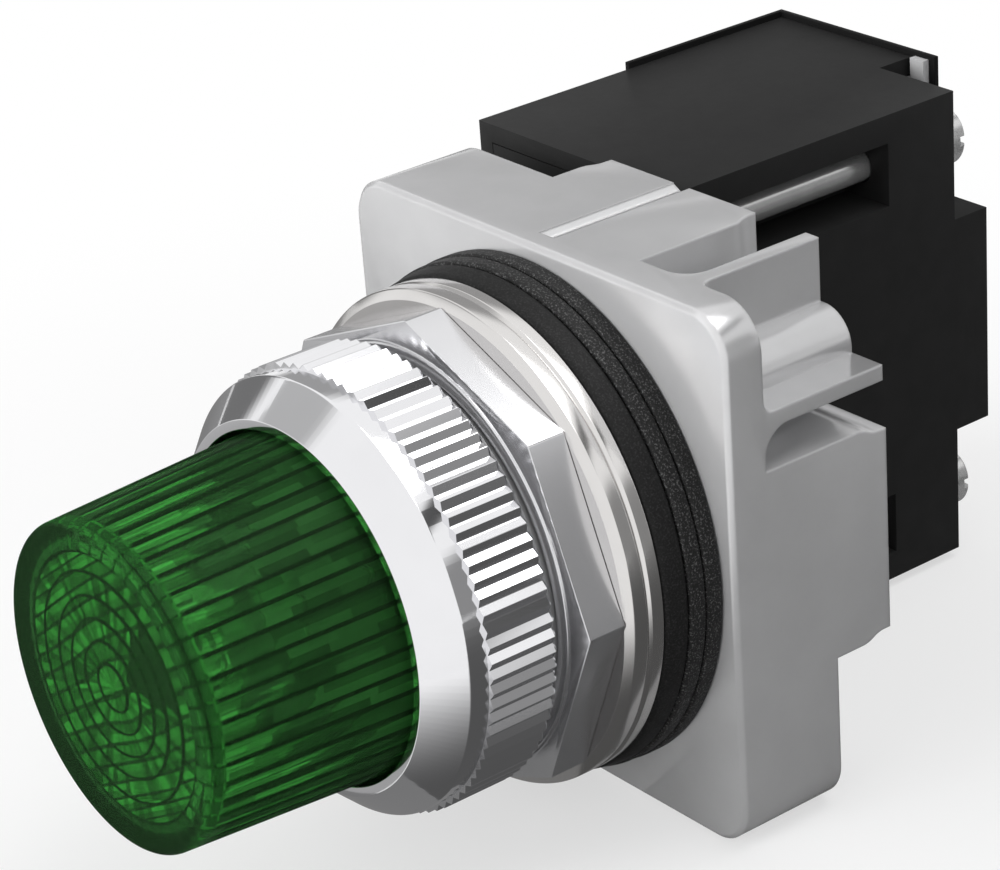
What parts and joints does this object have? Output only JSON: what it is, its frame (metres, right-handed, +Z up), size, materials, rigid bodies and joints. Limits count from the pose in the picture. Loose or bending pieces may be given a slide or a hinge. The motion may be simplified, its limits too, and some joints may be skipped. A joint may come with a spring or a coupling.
{
  "type": "panel pilot light",
  "caption": "Panel pilot light with a tall green lens in a knurled bezel, a square cast housing with gaskets, washers and panel nut, and a transformer module with screw terminals behind.",
  "frame": {"origin": "on the lamp's axis, in the front face of the square housing, where the threaded neck starts", "axes": "-Y along the neck towards the lens, +Y to the terminals, +X to the right as one looks at the lens, +Z up"},
  "size_m": [0.045, 0.0883, 0.0412],
  "materials": {
    "cast_metal": "satin",
    "gasket_rubber": "matte",
    "seal_rubber": "matte",
    "nickel": "satin",
    "bright_plate": "polished",
    "chrome": "polished",
    "green_lens": "gloss",
    "clear_glass": "gloss",
    "filament_wire": "satin",
    "lamp_metal": "satin",
    "lamp_insulator": "gloss",
    "solder": "satin",
    "contact_metal": "satin",
    "socket_moulding": "matte",
    "spring_steel": "satin",
    "black_moulding": "matte",
    "cover_sheet": "matte",
    "core_iron": "matte",
    "bobbin_moulding": "matte",
    "coil_copper": "satin",
    "lead_sleeve": "matte",
    "terminal_metal": "satin",
    "clamp_steel": "satin",
    "screw_steel": "satin"
  },
  "bodies": {
    "base": {"housing": "cast_metal", "rear_gasket": "gasket_rubber", "middle_gasket": "gasket_rubber", "front_gasket": "gasket_rubber", "rear_washer": "nickel", "socket_body": "socket_moulding", "socket_shell": "contact_metal", "shell_contact_strip": "contact_metal", "centre_contact_strip": "contact_metal", "contact_spring": "spring_steel", "module_case": "black_moulding", "module_base": "black_moulding", "contact_rivets": "contact_metal", "rear_cover": "cover_sheet", "transformer_core": "core_iron", "coil_bobbin": "bobbin_moulding", "primary_coil": "coil_copper", "secondary_coil": "coil_copper", "coil_leads": "lead_sleeve", "upper_terminal_plate": "terminal_metal", "lower_terminal_plate": "terminal_metal"},
    "lens_unit": {"lens": "green_lens", "lens_gasket": "seal_rubber"},
    "bezel": {"bezel_ring": "chrome"},
    "thrust_washer": {"front_washer": "nickel"},
    "nut": {"mounting_nut": "bright_plate"},
    "lamp": {"lamp_base": "lamp_metal", "lamp_glass": "clear_glass", "lamp_filament": "filament_wire", "lamp_insulator": "lamp_insulator", "lamp_tip": "solder"},
    "plunger": {"centre_contact": "contact_metal"},
    "upper_clamp": {"upper_saddle_clamp": "clamp_steel"},
    "upper_terminal_screw_body": {"upper_terminal_screw": "screw_steel"},
    "upper_screw_washer": {"upper_lock_washer": "spring_steel"},
    "upper_mounting_screw_body": {"upper_mounting_screw": "screw_steel"},
    "lower_clamp": {"lower_saddle_clamp": "clamp_steel"},
    "lower_terminal_screw_body": {"lower_terminal_screw": "screw_steel"},
    "lower_screw_washer": {"lower_lock_washer": "spring_steel"},
    "lower_mounting_screw_body": {"lower_mounting_screw": "screw_steel"}
  },
  "joints": [
    {"name": "lens_lift", "type": "slide", "parent": "base", "child": "lens_unit", "axis": [0, -1, 0], "range_m": [0, 0.00525]},
    {"name": "bezel_turn", "type": "hinge", "parent": "lens_unit", "child": "bezel", "pos_m": [0, -0.0174, 0], "axis": [0, -1, 0], "range_deg": [0, 1260]},
    {"name": "washer_lift", "type": "slide", "parent": "base", "child": "thrust_washer", "axis": [0, -1, 0], "range_m": [0, 0.0012]},
    {"name": "nut_turn", "type": "hinge", "parent": "thrust_washer", "child": "nut", "pos_m": [0, -0.0094, 0], "axis": [0, -1, 0], "range_deg": [0, 288]},
    {"name": "lamp_press", "type": "slide", "parent": "base", "child": "lamp", "axis": [0, 1, 0], "range_m": [0, 0.001], "stiffness_N_per_m": 2000, "springref_m": -0.001},
    {"name": "plunger_press", "type": "slide", "parent": "base", "child": "plunger", "axis": [0, 1, 0], "range_m": [0, 0.001], "deforming": ["contact_spring"]},
    {"name": "upper_clamp_lift", "type": "slide", "parent": "base", "child": "upper_clamp", "axis": [0, 1, 0], "range_m": [0, 0.002]},
    {"name": "upper_terminal_turn", "type": "hinge", "parent": "upper_clamp", "child": "upper_terminal_screw_body", "pos_m": [-0.015, 0.0485, 0.0144], "axis": [0, 1, 0], "range_deg": [0, 900]},
    {"name": "upper_washer_lift", "type": "slide", "parent": "base", "child": "upper_screw_washer", "axis": [0, 1, 0], "range_m": [0, 0.00762]},
    {"name": "upper_mounting_turn", "type": "hinge", "parent": "upper_screw_washer", "child": "upper_mounting_screw_body", "pos_m": [-0.004, 0.0437, 0.015], "axis": [0, 1, 0], "range_deg": [0, 4320]},
    {"name": "lower_clamp_lift", "type": "slide", "parent": "base", "child": "lower_clamp", "axis": [0, 1, 0], "range_m": [0, 0.002]},
    {"name": "lower_terminal_turn", "type": "hinge", "parent": "lower_clamp", "child": "lower_terminal_screw_body", "pos_m": [-0.015, 0.0485, -0.0144], "axis": [0, 1, 0], "range_deg": [0, 900]},
    {"name": "lower_washer_lift", "type": "slide", "parent": "base", "child": "lower_screw_washer", "axis": [0, 1, 0], "range_m": [0, 0.00762]},
    {"name": "lower_mounting_turn", "type": "hinge", "parent": "lower_screw_washer", "child": "lower_mounting_screw_body", "pos_m": [-0.004, 0.0437, -0.015], "axis": [0, 1, 0], "range_deg": [0, 4320]}
  ],
  "couplings": [
    {"joint": "lens_lift", "follows": "bezel_turn", "m_per_rad": 0.0002387},
    {"joint": "washer_lift", "follows": "nut_turn", "m_per_rad": 0.0002387},
    {"joint": "plunger_press", "follows": "lamp_press", "ratio": 1},
    {"joint": "upper_terminal_turn", "follows": "upper_clamp_lift", "rad_per_m": 7853.9},
    {"joint": "upper_mounting_turn", "follows": "upper_washer_lift", "rad_per_m": 9894.7},
    {"joint": "lower_terminal_turn", "follows": "lower_clamp_lift", "rad_per_m": 7853.9},
    {"joint": "lower_mounting_turn", "follows": "lower_washer_lift", "rad_per_m": 9894.7}
  ]
}
